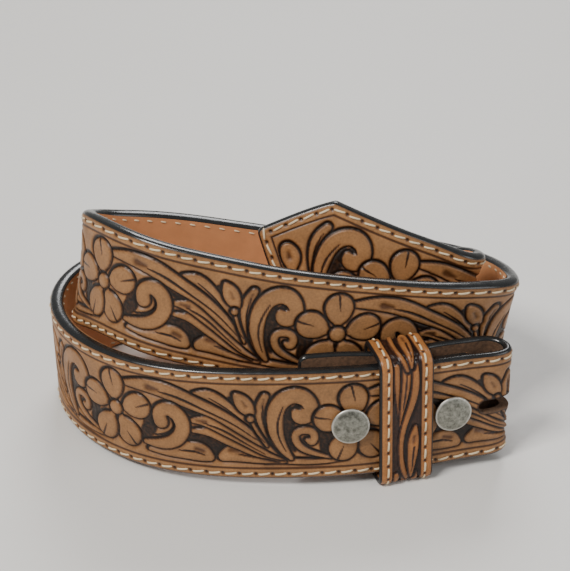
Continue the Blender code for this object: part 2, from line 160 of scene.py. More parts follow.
# How deep and how dark the tools work, in millimetres and stains, and how far the matting varies
BEVEL_DEPTH = 0.90
BEVEL_REACH = 0.95
# The cut's dark band grows by this much and shifts up and to the left, in millimetres: painted shade on the
# bevel's shadowed side.
CUT_GROWTH = 0.25
CUT_SHADE_SHIFT = (-0.18, 0.26)
MAT_DEPTH = 0.56
MAT_DEPTH_VARIES = 0.18
MAT_STAIN = 0.80
MAT_STAIN_VARIES = 0.30
KNIFE_DEPTH = 0.34
KNIFE_STAIN = 0.88
HOLLOW_DEPTH = 0.42
HOLLOW_STAIN = 0.42

# A snap cap's outline from its middle, as (radius, rise) shares, and its rubbed rim
CAP_PROFILE = (
    (0.02, 1.0), (0.2, 0.985), (0.4, 0.93), (0.58, 0.85), (0.74, 0.74), (0.85, 0.62), (0.90, 0.55),
    (0.94, 0.55), (0.98, 0.50), (1.0, 0.38), (1.0, 0.24), (0.97, 0.10), (0.90, 0.0), (0.70, 0.0),
)
RUBBED_FROM = 0.88
RUBBED_BLEND = 0.06
RUBBED_SHARE = 0.8

# The carving's repeat along the strap and the fineness of its chart, in millimetres
REPEAT = 78.7
FLOWER_AT = 124.0
TIP_FLOWER_AT = 795.0
TIP_PATTERN_FROM = 752.0
TIP_ENDING_FROM = 806.0
TIP_MATS_FROM = 47.0
TIP_CUTS_FROM = 49.0
FLOWER_MATS_TO = 2.0
CHART_STEP = 0.12
STROKE_STEP = 0.2
STROKE_REACH = 1.6
LEAST_STROKE = 0.05

# The middle line of the carved face, as in the part's source: shares of the coil's width and depth,
# walls inward, belt widths up and degrees of lean
Station = namedtuple("Station", "across back inset rise lean")
STATIONS = tuple(map(Station._make, (
    (0.029, 0.02, 2.1, 0.101, -5.5),
    (0.133, 0.026, 2.45, 0.1, -5.5),
    (0.246, 0.058, 2.08, 0.098, -4.5),
    (0.347, 0.101, 2.4, 0.101, -3),
    (0.42, 0.148, 2.2, 0.098, -2),
    (0.46, 0.19, 1.6, 0.093, -1),
    (0.48, 0.192, 0.8, 0.088, 0),
    (0.471, 0.17, 0, 0.085, 0),
    (0.448, 0.136, 0, 0.083, 1),
    (0.4, 0.116, 0, 0.083, 2),
    (0.333, 0.09, 0, 0.083, 3),
    (0.227, 0.052, 0, 0.083, 4.5),
    (0.113, 0.025, 0, 0.083, 5.5),
    (-0.04, 0.018, 0, 0.075, 5.5),
    (-0.18, 0.04, 0, 0.059, 4.5),
    (-0.3, 0.1, 0, 0.041, 2.5),
    (-0.4, 0.206, 0, 0.022, 0.5),
    (-0.473, 0.345, 0, 0.009, -1),
    (-0.511, 0.52, 0, 0.004, -1),
    (-0.493, 0.7, 0, 0, 0),
    (-0.42, 0.84, 0, 0, 0),
    (-0.293, 0.94, 0, 0, 0),
    (-0.12, 0.985, 0, 0, 0),
    (0.067, 0.98, 0, 0.012, -1),
    (0.24, 0.91, 0, 0.051, -3),
    (0.373, 0.785, 0, 0.125, -5),
    (0.453, 0.63, 0, 0.219, -6),
    (0.48, 0.475, 0, 0.319, -7),
    (0.489, 0.345, 1, 0.408, -8),
    (0.458, 0.209, 2.8, 0.495, -8),
    (0.368, 0.121, 3.45, 0.553, -5),
    (0.231, 0.053, 3.65, 0.631, 1),
    (0.1, 0.023, 3.5, 0.711, 5),
    (-0.038, 0.024, 3.1, 0.803, 7),
    (-0.171, 0.064, 2.4, 0.902, 8),
    (-0.289, 0.136, 1.65, 0.975, 9),
    (-0.362, 0.195, 1.6, 1.007, 9),
    (-0.429, 0.269, 1.95, 0.996, 9),
    (-0.474, 0.37, 1.95, 0.944, 9),
    (-0.485, 0.488, 1.5, 0.86, 9),
    (-0.455, 0.603, 1.2, 0.773, 7),
    (-0.381, 0.692, 1.2, 0.692, 5),
    (-0.268, 0.74, 1.2, 0.61, 3),
    (-0.139, 0.754, 1.2, 0.529, 2),
    (0.015, 0.739, 1.2, 0.455, 0),
    (0.179, 0.68, 1.2, 0.408, -2),
    (0.312, 0.594, 1.2, 0.408, -4),
    (0.385, 0.555, 1.4, 0.434, -4),
    (0.436, 0.52, 1.85, 0.471, -4),
    (0.456, 0.446, 2, 0.524, -5),
    (0.452, 0.362, 2.35, 0.584, -6),
    (0.409, 0.312, 2.35, 0.652, -5),
    (0.306, 0.356, 0, 0.728, 1),
    (0.22, 0.338, 0, 0.88, 10),
    (0.093, 0.354, 0, 1.09, 17),
    (-0.057, 0.41, 0, 1.32, 20),
)))

# The carving. Each form is a tapered stroke of (along, up, half width) in millimetres from the
# flower's place, to the right as the photo shows it and up from the belt's middle line. A petal's
# strokes are (radius, half width), and its cut (radius, degrees past the petal's, half width).
PETAL_ANGLES = (96, 20, -57, -118, 165)
PETAL = ((3.2, 0.9), (5.5, 2.3), (7.5, 3.8), (9.3, 4.5))
PETAL_CUT = ((13.4, 1, 0.3), (11, 0, 0.22), (8.4, -2, 0.06))
FLOWER_UP = -0.3
FLOWER_MIDDLE = ((0, FLOWER_UP, 2.5), (0.05, FLOWER_UP, 2.5))
MATS = (
    ((9, 4, 1.6), (13, -3, 2.6), (11, -6.5, 2)),
    ((22.5, 7.2, 1.2), (27.5, 4.6, 2), (31.5, 3.4, 1)),
    ((26, -5.2, 1.8), (31, -5.6, 1.6), (35, -8, 2.2), (38, -6, 1.2)),
    ((34.6, -9, 1.2), (34.7, -12, 0.5)),
    ((57.2, 6, 1.6), (57.4, 1, 2.3), (57, -3.5, 2), (59, -8, 1.2)),
    ((66.5, 6, 1.6), (67.5, 1, 2.6), (69, -4, 2.6), (68.5, -8.5, 1.5)),
    ((39.3, 9.8, 0.7), (41.2, 5.8, 1.3), (44, 1.5, 1.2), (47, -3, 0.8)),
    ((47.5, 8.6, 0.7), (47.2, 4, 1)),
    ((0.8, -9.5, 1.6), (0.6, -6, 1.2)),
)
SHAPES = {
    "stem": ((50, -13.1, 0.4), (56, -12.6, 0.9), (62, -12.8, 1), (70, -12.9, 0.7), (76, -12.6, 0.3)),
    "lobe near": ((12.5, -11.8, 0.7), (19, -11.6, 1.5), (25, -10.2, 3), (29.5, -10.2, 3.2),
                  (32.4, -11.6, 1.6)),
    "lobe far": ((36.9, -11, 1.8), (40, -9.8, 2.9), (45, -10.7, 2.3), (50, -11.9, 1.4),
                 (56, -12.8, 0.6)),
    "blade low": ((27.2, -2.7, 0.7), (32, -2.7, 1.3), (37, -4.8, 1.4), (42, -7.4, 1.2),
                  (48, -10.2, 0.9), (54, -12.3, 0.4)),
    "blade mid": ((27, 1, 0.8), (31, 1.2, 1.7), (36, -0.8, 1.9), (41, -3.8, 1.6), (46, -7, 1.3),
                  (51, -10.2, 0.8), (56, -12, 0.3)),
    "blade top": ((28.4, 10.4, 1), (31.8, 10.6, 1.7), (36.2, 8.4, 1.9), (41, 4, 1.7), (46, -1.2, 1.4),
                  (51, -6.5, 0.9), (56, -10.6, 0.4)),
    "blade long": ((3, 10.2, 0.8), (10, 11.1, 2.1), (17, 10.8, 2.7), (27.5, 7.3, 2.5), (34.5, 4.4, 2.1),
                   (40, 1, 2), (45.4, -3, 1.7), (51, -7.3, 1.1), (56, -10.9, 0.5)),
    "bud stem": ((46, 1.5, 0.5), (47.8, -2, 0.6), (50.6, -7, 0.5)),
    "slender": ((50.3, 10.4, 1.3), (48.9, 6.5, 1.6), (49.1, 2, 1.5), (51, -2.8, 1.2), (54, -8, 0.7),
                (56.5, -11.5, 0.3)),
    "scroll": ((58.2, -11.6, 0.7), (54.8, -6.5, 1.9), (53.2, 0.5, 2.5), (53.8, 6, 2.7), (56.6, 9.7, 2.7),
               (60.3, 10.6, 2.7), (63.4, 8.2, 2.7), (63.8, 4.6, 2.7), (61.2, 3.3, 2.6), (59.6, 4.8, 1.3)),
    "curl": ((71, -11.8, 0.4), (64.5, -9.6, 0.9), (60.2, -6.4, 1.2), (59.7, -2.8, 1.3), (62.6, -1.6, 1.3),
             (65.3, -3.3, 1.3), (64.6, -5.7, 1.3), (63.1, -5.1, 0.7)),
    "bud": ((41.2, 11, 0.8), (42.6, 9.2, 2.1), (44.4, 6.6, 2.4), (45.6, 4.9, 1.5)),
    "seed": ((45.6, 2.5, 1.15), (45.65, 2.5, 1.15)),
    "comma": ((11, -9.4, 0.8), (17, -8.9, 1.9), (22, -6.3, 2.4), (24, -1.8, 2.5), (22.4, 2.4, 2.6),
              (18.6, 4, 2.4), (16.4, 2, 2.4), (16.8, -0.8, 2.5)),
}
TIP_SHAPES = ("slender", "scroll", "curl", "leaf", "stem")
TIP_LEAF = ((47, -9.5, 0.5), (45.2, -5.8, 1.7), (43.2, -2.8, 3), (41.8, -1.6, 2.4))
CUTS = (
    ((16.5, 9.9, 0.1), (21, 9.2, 0.35), (30, 5.8, 0.3), (40, 0.8, 0.2), (49, -6, 0.08)),
    ((33, 9.6, 0.1), (38, 6.3, 0.25), (44, 0.6, 0.2), (50, -5.6, 0.08)),
    ((30.5, 0.6, 0.1), (36, -1.2, 0.3), (43, -5.4, 0.2), (50, -9.8, 0.08)),
    ((41.5, -10, 0.1), (47, -11.2, 0.25), (53, -12.4, 0.08)),
    ((55.9, 7.2, 0.1), (54.2, 2, 0.25), (54.2, -3, 0.22), (56.6, -9, 0.08)),
    ((49.8, 8.2, 0.1), (49.4, 3, 0.22), (51.4, -3.5, 0.18), (54.8, -9.5, 0.08)),
    ((20.6, 0.9, 0.12), (21.1, -1.8, 0.4), (19.2, -4.3, 0.4), (14, -6, 0.25)),
    ((59, 6.8, 0.15), (60.6, 7.4, 0.4), (62, 6.3, 0.2)),
    ((22, -10.4, 0.1), (27, -10, 0.28), (31, -11, 0.1)),
)
HOLLOWS = (
    ((12.8, 10.7, 1.6), (16, 10.4, 1)),
    ((28.8, 1.2, 0.9), (31.5, 1, 1.2)),
    ((28.2, -9, 1.2), (30.4, -9.6, 1.2)),
    ((39, -8.7, 1.2), (41.6, -9.2, 1)),
    ((50, 9.4, 0.8), (49.4, 6.6, 0.7)),
    ((43.2, 8.8, 0.6), (44.4, 7, 0.8)),
)
TIP_HOLLOWS = (((43.2, -3.4, 1.2), (42.4, -2.2, 1)),)

# The keeper: its sewing in metres, its ground in millimetres and stains, and its carving, as
# strokes of (up along its front, across, half width) in millimetres
KEEPER_REPEATS = 3
KEEPER_BAND = 4.5
KEEPER_STITCH_INSET = 0.0027
KEEPER_STITCH_PITCH = 0.0049
KEEPER_CHART_MARGIN = 0.6
KEEPER_GROUND = -0.45
KEEPER_GROUND_VARIES = 0.1
KEEPER_STAIN = 0.78
KEEPER_STAIN_VARIES = 0.16
KEEPER_SIDE_STAIN = 0.25
KEEPER_END = 0.0005
KEEPER_SHAPES = (
    ((20.5, -3.3, 0.9), (14, -3.1, 1), (8, -2.8, 0.8), (2.5, -2.5, 0.3)),
    ((20.5, -0.3, 1.2), (15, -0.1, 1.5), (9, -0.8, 1.2), (3, -1.7, 0.6), (-1, -2.2, 0.3)),
    ((21, 2.6, 0.9), (14, 2.9, 1.2), (8, 2.1, 1.2), (2, 0.2, 1), (-4, -1.4, 0.9),
     (-10, -1.8, 0.8), (-16, -1.2, 0.9), (-20.5, 0.2, 0.8)),
    ((-2, 2.9, 0.7), (-6, 2.4, 1.7), (-11, 2, 1.8), (-16, 1.6, 1.2), (-20, 1.4, 0.4)),
)
KEEPER_CUTS = (
    ((-9, 2.3, 0.3), (-13, 2, 0.2), (-17.5, 1.6, 0.08)),
    ((17, -0.2, 0.1), (11, -0.5, 0.22), (4.5, -1.4, 0.08)),
)
KEEPER_HOLLOWS = (((-5.4, 2.5, 0.9), (-7.6, 2.4, 0.8)),)

# The stage: lamps in metres and watts, and the world's light
Lamp = namedtuple("Lamp", "name location power size colour")
LAMPS = (
    Lamp("key", (-0.55, -0.55, 1.05), 17.0, 0.40, (1.0, 0.97, 0.93)),
    Lamp("fill", (0.95, -0.55, 0.55), 4.0, 0.7, (1.0, 1.0, 1.0)),
    Lamp("back", (0.1, 0.9, 0.85), 8.0, 0.5, (1.0, 1.0, 1.0)),
)
LAMP_AIM = Vector((0.0, 0.0, 0.04))
WORLD_COLOUR = (0.90, 0.89, 0.87, 1.0)
WORLD_STRENGTH = 0.30
FLOOR_REACH = 4.0


def unit(vectors):
    return vectors / np.linalg.norm(vectors, axis=-1, keepdims=True)


def run_lengths(points, power=1.0):
    """Length along a line of points up to each one, with its steps raised to a power."""
    steps = np.linalg.norm(np.diff(points, axis=0), axis=1)
    return np.concatenate([[0], np.cumsum(steps ** power)])


def read_rows(rows, lengths, where):
    """Rows of values, interpolated at places along their lengths."""
    return np.stack([np.interp(where, lengths, column) for column in rows.T], axis=-1)


def work(tool, field):
    """A tool's mark for distances inside a form."""
    return tool.strength * np.clip(1 - (tool.start - field) / tool.reach, 0, 1) ** tool.power


def press(height, stain, away, mark):
    """Presses a mark into the leather, for distances in metres from the mark's middle."""
    depth = np.exp(-(away / mark.width) ** 2)
    return height - mark.depth * depth, np.maximum(stain, mark.stain * depth)


def packed_points(name):
    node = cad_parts[name]
    return np.array([node.matrix_world @ vertex.co for vertex in node.data.vertices])


def add_object(name, data):
    obj = bpy.data.objects.new(name, data)
    bpy.context.scene.collection.objects.link(obj)
    return obj


def make_tree(points):
    """Search tree of flat points."""
    tree = kdtree.KDTree(len(points))
    for index, (first, second) in enumerate(points):
        tree.insert((first, second, 0), index)
    tree.balance()
    return tree


def natural_spline(knots, values, samples):
    """Natural cubic spline through rows of values, read at the samples."""
    count = len(knots)
    gaps = np.diff(knots)
    matrix = np.eye(count)
    right = np.zeros_like(values)
    for i in range(1, count - 1):
        matrix[i, i - 1:i + 2] = gaps[i - 1], 2 * (gaps[i - 1] + gaps[i]), gaps[i]
        right[i] = 6 * ((values[i + 1] - values[i]) / gaps[i] - (values[i] - values[i - 1]) / gaps[i - 1])
    bend = np.linalg.solve(matrix, right)
    k = np.clip(np.searchsorted(knots, samples) - 1, 0, count - 2)
    d = (samples - knots[k])[:, None]
    gap = gaps[k][:, None]
    slope = (values[k + 1] - values[k]) / gap - gap * (2 * bend[k] + bend[k + 1]) / 6
    return values[k] + d * slope + d ** 2 * bend[k] / 2 + d ** 3 * (bend[k + 1] - bend[k]) / (6 * gap)


def station_row(station):
    x = station.across * COIL_WIDTH
    y = station.back * COIL_DEPTH
    inward = unit(np.array([-x / (COIL_WIDTH / 2) ** 2, -(y - COIL_DEPTH / 2) / (COIL_DEPTH / 2) ** 2]))
    shift = station.inset * WALL
    z = HALF_WIDTH + station.rise * BELT_WIDTH
    return (x + shift * inward[0], y + shift * inward[1], z, math.radians(station.lean))


class Route:
    """The strap's path, read by the distance along it from the flap's end."""

    def __init__(self):
        rows = np.array([station_row(station) for station in STATIONS])
        knots = run_lengths(rows[:, :3], KNOT_POWER)
        dense = natural_spline(knots, rows, np.linspace(0, knots[-1], ROUTE_SAMPLES))
        lengths = run_lengths(dense[:, :3])
        self.length = float(lengths[-1])
        self.distances = np.linspace(0, self.length, ROUTE_SAMPLES)
        even = read_rows(dense, lengths, self.distances)
        self.points = even[:, :3]
        self.along = unit(np.gradient(self.points, self.distances, axis=0))
        upright = np.array([0.0, 0.0, 1.0])
        upright = unit(upright - (self.along @ upright)[:, None] * self.along)
        inward = np.cross(self.along, upright)
        lean = even[:, 3:]
        self.up = np.cos(lean) * upright + np.sin(lean) * inward
        self.twist = np.gradient(self.up, self.distances, axis=0)
        self.shift = np.zeros(3)
        runs = np.diff(self.points[:, 0])
        self.fold = int(np.flatnonzero(runs < 0)[0])
        self.turn = self.fold + int(np.flatnonzero(runs[self.fold:] > 0)[0])

    def read(self, field, distance):
        return read_rows(field, self.distances, distance)

    def inward(self, distance, across):
        run = self.read(self.along, distance) + across[..., None] * self.read(self.twist, distance)
        return unit(np.cross(run, self.read(self.up, distance)))

    def place(self, distance, across, depth):
        """Points of the part: across the strap's width, and depth in from the carved face."""
        distance, across, depth = np.broadcast_arrays(*np.atleast_1d(distance, across, depth))
        middle = self.read(self.points, distance) + across[..., None] * self.read(self.up, distance)
        return middle + depth[..., None] * self.inward(distance, across) + self.shift

    def front_distance(self, share):
        """Distance on the lower front at a share of the coil's width from its middle line."""
        leftward = -self.points[self.fold:self.turn, 0]
        return float(np.interp(-share * COIL_WIDTH, leftward, self.distances[self.fold:self.turn]))


ROUTE = Route()


def half_width(distance):
    """Half of the strap's width, narrowed at the flap's corners and at the tip."""
    from_tip = np.clip((ROUTE.length - distance) / TIP_TAPER, 0, 1)
    taper = TIP_NOSE / 2 + (HALF_WIDTH - TIP_NOSE / 2) * (1 - (1 - from_tip) ** TIP_CONVEXITY)
    left = np.clip(1 - distance / FLAP_CORNER, 0, 1)
    return taper - FLAP_CORNER * (1 - np.sqrt(1 - left ** 2))


def find_shift():
    """Move from the path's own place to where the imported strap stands."""
    packed = packed_points("strap")
    run = ROUTE.distances
    own = np.concatenate([ROUTE.place(run, side * half_width(run), depth)
                          for side in (-1, 1) for depth in (0.0, STRAP_THICKNESS)])
    return (packed.min(axis=0) + packed.max(axis=0) - own.min(axis=0) - own.max(axis=0)) / 2


ROUTE.shift = find_shift()
LINING_START = ROUTE.front_distance(SNAP_SHARES["right"]) - LINING_MARGIN


def face_half(distance, inset):
    """Half width of a face that stops an inset short of the outline."""
    probe = 0.0002
    slope = (half_width(distance + probe) - half_width(distance - probe)) / (2 * probe)
    slope = np.where(distance > ROUTE.length - TIP_MARGIN * TIP_TAPER, slope, 0)
    return np.maximum(half_width(distance) - inset * np.sqrt(1 + slope ** 2), LEAST_HALF_WIDTH)


def make_outline():
    """The strap's outline as (distance, across) points about a step apart, and its outward directions."""
    taper_start = ROUTE.length - TIP_TAPER
    run = np.concatenate([np.linspace(0, FLAP_CORNER, CORNER_POINTS),
                          np.arange(FLAP_CORNER, taper_start, OUTLINE_STEP)[1:],
                          np.linspace(taper_start, ROUTE.length, TIP_POINTS)])
    top = np.column_stack([run, half_width(run)])
    bottom = top[::-1] * (1, -1)
    loop = np.concatenate([top, bottom, top[:1]])
    lengths = run_lengths(loop)
    even = np.linspace(0, lengths[-1], round(lengths[-1] / EDGE_STEP), endpoint=False)
    points = read_rows(loop, lengths, even)
    ahead = unit(np.roll(points, -1, axis=0) - np.roll(points, 1, axis=0))
    return points, np.column_stack([-ahead[:, 1], ahead[:, 0]])


OUTLINE, OUTLINE_OUT = make_outline()
OUTLINE_TREE = make_tree(OUTLINE)


def edge_distance(distance, across):
    """How far points lie inside the outline. The sides are straight except near the two ends."""
    inside = HALF_WIDTH - np.abs(across)
    near_end = (distance < FLAP_ZONE) | (distance > ROUTE.length - TIP_ZONE)
    for index in np.argwhere(near_end):
        place = tuple(index)
        inside[place] = OUTLINE_TREE.find((distance[place], across[place], 0))[2]
    return inside


def stitch_places():
    """Centres and directions of the stitches, and the holes between them, on the carved face."""
    path = OUTLINE - STITCH_INSET * OUTLINE_OUT
    clear = np.array([OUTLINE_TREE.find((d, a, 0))[2] > SEAM_CLEARANCE * STITCH_INSET for d, a in path])
    clear &= path[:, 0] > 2 * STITCH_INSET
    middle = len(path) // 2
    probe = 0.0006
    cos, sin = math.cos(STITCH_SLANT), math.sin(STITCH_SLANT)
    centres, directions, holes = [], [], []
    for side in (slice(0, middle), slice(middle, None)):
        points = path[side][clear[side]]
        lengths = run_lengths(points)
        count = round(lengths[-1] / STITCH_PITCH)
        marks = (np.arange(count) + 0.5) * lengths[-1] / count
        gaps = np.arange(count + 1) * lengths[-1] / count
        ahead = unit(read_rows(points, lengths, marks + probe) - read_rows(points, lengths, marks - probe))
        rightward = np.where(ahead[:, :1] > 0, -ahead, ahead)
        centres.append(read_rows(points, lengths, marks))
        directions.append(rightward @ [[cos, -sin], [sin, cos]])
        holes.append(read_rows(points, lengths, gaps))
    return np.concatenate(centres), np.concatenate(directions), np.concatenate(holes)


class Chart:
    """One repeat of carving: heights in millimetres and darkness from stains and painted shade, painted form
    by form.
    """

    def __init__(self, period, half, height, stain):
        self.columns = round(period / CHART_STEP)
        self.step = period / self.columns
        self.rows = round(2 * half / CHART_STEP) + 1
        self.half = half
        self.height = np.full((self.rows, self.columns), float(height))
        self.stain = np.full((self.rows, self.columns), float(stain))
        self.grain = self.make_grain()

    def make_grain(self):
        """Pebbled marks of a matting stamp."""
        noise = np.random.default_rng(7).random((self.rows, self.columns))
        for axis in (0, 1):
            noise = sum(np.roll(noise, shift, axis=axis) for shift in (-2, -1, 0, 1, 2)) / 5
        noise -= noise.mean()
        return noise / np.abs(noise).max()

    def field(self, stroke, grow=0.0, shift=(0.0, 0.0)):
        """Distance inside a tapered stroke, in millimetres, negative outside it."""
        rows = np.array(stroke, float)
        knots = run_lengths(rows[:, :2])
        samples = np.linspace(0, knots[-1], max(int(knots[-1] / STROKE_STEP), 2))
        path = natural_spline(knots, rows, samples)
        field = np.full(self.height.shape, -STROKE_REACH)
        for u, v, half in path:
            u, v, half = u + shift[0], v + shift[1], max(half, LEAST_STROKE) + grow
            span = half + STROKE_REACH
            columns = np.arange(math.floor((u - span) / self.step), math.ceil((u + span) / self.step) + 1)
            first = max(math.floor((v - span + self.half) / CHART_STEP), 0)
            last = min(math.ceil((v + span + self.half) / CHART_STEP) + 1, self.rows)
            if first >= last:
                continue
            rows_up = np.arange(first, last)
            block = np.ix_(rows_up, columns % self.columns)
            away = np.hypot(columns[None, :] * self.step - u, (rows_up * CHART_STEP - self.half - v)[:, None])
            field[block] = np.maximum(field[block], half - away)
        return field

    def mat(self, stroke):
        """Sunk and stippled ground."""
        inside = work(MATTING, self.field(stroke))
        ground = -MAT_DEPTH + MAT_DEPTH_VARIES * self.grain
        self.height = self.height * (1 - inside) + ground * inside
        self.stain = self.stain * (1 - inside) + (MAT_STAIN + MAT_STAIN_VARIES * self.grain) * inside

    def shape(self, stroke):
        """Raised form, with a stained dark cut round it that painted shade widens on its upper left, a fade
        of stains and painted shade outward, and painted shade in from the form's edge.
        """
        field = self.field(stroke)
        shaded = self.field(stroke, CUT_GROWTH, CUT_SHADE_SHIFT)
        inside = field > 0
        outside = np.clip(-field, 0, None)
        cut = np.minimum(self.height, -BEVEL_DEPTH * np.exp(-(outside / BEVEL_REACH) ** 2))
        self.height = np.where(inside, work(CROWN, field) - work(FORM_FALL, -field), cut)
        # Round the form: the stained cut widened up and left with painted shade, and a fade of stains and
        # painted shade.
        around = np.maximum(self.stain, np.maximum(work(CUT_STAIN_AND_SHADE, shaded), work(FADE_STAIN_AND_SHADE, -outside)))
        # Inside the form: its stained edge, and painted shade in from it.
        rim = np.maximum(work(FORM_EDGE_STAIN, -field), work(FORM_PAINTED_SHADE, -field))
        self.stain = np.where(inside, rim, around)

    def cut(self, stroke):
        """A knife's decorative line."""
        line = work(KNIFE, self.field(stroke))
        self.height = self.height - KNIFE_DEPTH * line
        self.stain = np.maximum(self.stain, KNIFE_STAIN * line)

    def hollow(self, stroke):
        """A pear shader's soft hollow."""
        soft = work(PEAR_SHADER, self.field(stroke))
        self.height = self.height - HOLLOW_DEPTH * soft
        self.stain = np.maximum(self.stain, HOLLOW_STAIN * soft)

    def read(self, values, along, up):
        column = np.mod(along / self.step, self.columns)
        row = np.clip((up + self.half) / CHART_STEP, 0, self.rows - 1.001)
        c, r = np.floor(column).astype(int), np.floor(row).astype(int)
        fc, fr = column - c, row - r
        c0, c1 = c % self.columns, (c + 1) % self.columns
        low = values[r, c0] * (1 - fc) + values[r, c1] * fc
        high = values[r + 1, c0] * (1 - fc) + values[r + 1, c1] * fc
        return low * (1 - fr) + high * fr


def polar(radius, angle):
    turn = math.radians(angle)
    return radius * math.cos(turn), FLOWER_UP + radius * math.sin(turn)


def make_belt_chart(names, hollows, cuts, mats):
    shapes = {**SHAPES, "leaf": TIP_LEAF}
    chart = Chart(REPEAT, HALF_WIDTH * 1000, 0.0, 0.0)
    for stroke in mats:
        chart.mat(stroke)
    for name in names:
        chart.shape(shapes[name])
    for angle in PETAL_ANGLES:
        chart.shape([(*polar(radius, angle), half) for radius, half in PETAL])
        chart.cut([(*polar(radius, angle + turn), half) for radius, turn, half in PETAL_CUT])
    chart.shape(FLOWER_MIDDLE)
    for stroke in cuts:
        chart.cut(stroke)
    for stroke in hollows:
        chart.hollow(stroke)
    return chart


def make_sheet(name, points, attributes, material, keep=None, outward=True):
    """Mesh of a grid of points, (columns, rows, 3). Faces to keep may be given as a mask."""
    columns, rows = points.shape[:2]
    number = np.arange(columns * rows).reshape(columns, rows)
    quads = np.stack([number[:-1, :-1], number[:-1, 1:], number[1:, 1:], number[1:, :-1]], axis=-1)
    if not outward:
        quads = quads[..., ::-1]
    quads = quads.reshape(-1, 4) if keep is None else quads[keep]
    flat = {key: values.ravel() for key, values in attributes.items()}
    return make_mesh(name, points.reshape(-1, 3), quads, flat, material)


def make_mesh(name, points, faces, attributes, material):
    used, places = np.unique(faces, return_inverse=True)
    faces = places.reshape(faces.shape)
    sides = faces.shape[1]
    mesh = bpy.data.meshes.new(name)
    mesh.vertices.add(len(used))
    mesh.vertices.foreach_set("co", points[used].astype(np.float32).ravel())
    mesh.loops.add(faces.size)
    mesh.loops.foreach_set("vertex_index", faces.astype(np.int32).ravel())
    mesh.polygons.add(len(faces))
    mesh.polygons.foreach_set("loop_start", np.arange(0, faces.size, sides, dtype=np.int32))
    mesh.polygons.foreach_set("use_smooth", np.ones(len(faces), bool))
    mesh.update(calc_edges=True)
    for key, values in attributes.items():
        layer = mesh.attributes.new(key, "FLOAT", "POINT")
        layer.data.foreach_set("value", values[used].astype(np.float32))
    mesh.materials.append(material)
    piece = add_object(name, mesh)
    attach(piece, "root")
    return piece


class Shader:
    """A Principled material with its procedural inputs."""

    def __init__(self, name, **values):
        self.material = bpy.data.materials.new(name)
        self.material.use_nodes = True
        self.tree = self.material.node_tree
        self.shader = self.tree.nodes["Principled BSDF"]
        for key, value in values.items():
            self.shader.inputs[key.replace("_", " ")].default_value = value
        self.position = self.node("ShaderNodeTexCoord").outputs["Object"]

    def node(self, kind, **settings):
        made = self.tree.nodes.new(kind)
        for key, value in settings.items():
            setattr(made, key, value)
        return made

    def link(self, source, target):
        self.tree.links.new(source, target)

    def noise(self, scale, detail=3.0, roughness=0.5):
        made = self.node("ShaderNodeTexNoise")
        made.inputs["Scale"].default_value = scale
        made.inputs["Detail"].default_value = detail
        made.inputs["Roughness"].default_value = roughness
        self.link(self.position, made.inputs["Vector"])
        return made.outputs["Fac"]

    def pores(self, scale):
        made = self.node("ShaderNodeTexVoronoi")
        made.inputs["Scale"].default_value = scale
        self.link(self.position, made.inputs["Vector"])
        return made.outputs["Distance"]

    def attribute(self, name):
        return self.node("ShaderNodeAttribute", attribute_name=name).outputs["Fac"]

    def spread(self, source, low, high):
        """Spreads a noise's usual range, 0.3 to 0.7, over another one."""
        made = self.node("ShaderNodeMapRange")
        for key, value in (("From Min", 0.3), ("From Max", 0.7), ("To Min", low), ("To Max", high)):
            made.inputs[key].default_value = value
        self.link(source, made.inputs["Value"])
        return made.outputs["Result"]

    def ramp(self, source, stops):
        made = self.node("ShaderNodeValToRGB")
        band = made.color_ramp.elements
        while len(band) < len(stops):
            band.new(0.5)
        for element, (place, colour) in zip(band, stops):
            element.position = place
            element.color = (*colour, 1.0)
        self.link(source, made.inputs["Fac"])
        return made.outputs["Color"]

    def mix(self, kind, factor, first, second):
        made = self.node("ShaderNodeMix", data_type="RGBA", blend_type=kind)
        sockets = {"Factor": made.inputs[0], "A": made.inputs[6], "B": made.inputs[7]}
        for key, value in (("Factor", factor), ("A", first), ("B", second)):
            if isinstance(value, bpy.types.NodeSocket):
                self.link(value, sockets[key])
            elif key == "Factor":
                sockets[key].default_value = value
            else:
                sockets[key].default_value = (*value, 1.0)
        return made.outputs[2]

    def bumps(self, *layers):
        """Bump layers of (height source, strength, distance in metres), finest last."""
        normal = None
        for source, strength, distance in layers:
            made = self.node("ShaderNodeBump")
            made.inputs["Strength"].default_value = strength
            made.inputs["Distance"].default_value = distance
            self.link(source, made.inputs["Height"])
            if normal:
                self.link(normal, made.inputs["Normal"])
            normal = made.outputs["Normal"]
        self.link(normal, self.shader.inputs["Normal"])


def leather_material(name, tan, brown, dark, gloss):
    """Stained tooled leather: an attribute darkens cuts and ground with stains, and round the carved forms
    with painted shade; paint blackens cut edges.
    """
    look = Shader(name, Specular_IOR_Level=0.36)
    colour = look.ramp(look.attribute("stain"), ((0.0, tan), (0.42, brown), (0.85, dark)))
    blotch = look.spread(look.noise(120, 4, 0.6), 0.76, 1.16)
    fibre = look.spread(look.noise(1500, 3, 0.65), 0.78, 1.14)
    for tone in (blotch, fibre):
        colour = look.mix("MULTIPLY", 1.0, colour, tone)
    colour = look.mix("MIX", look.attribute("paint"), colour, (0.008, 0.008, 0.009))
    look.link(colour, look.shader.inputs["Base Color"])
    look.link(look.spread(look.noise(300, 3), gloss - 0.07, gloss + 0.09), look.shader.inputs["Roughness"])
    look.bumps((look.noise(700, 4, 0.6), 0.35, 0.00012), (look.pores(2200), 0.22, 0.00006))
    return look.material


def plain_material(name, colour, roughness, layers, variation=(0.85, 1.1), variation_scale=160, **values):
    look = Shader(name, **values)
    tone = look.spread(look.noise(variation_scale, 4, 0.6), *variation)
    look.link(look.mix("MULTIPLY", 1.0, colour, tone), look.shader.inputs["Base Color"])
    look.link(look.spread(look.noise(400, 3), *roughness), look.shader.inputs["Roughness"])
    look.bumps(*[(look.noise(scale, 4, 0.6), strength, depth) for scale, strength, depth in layers])
    return look.material


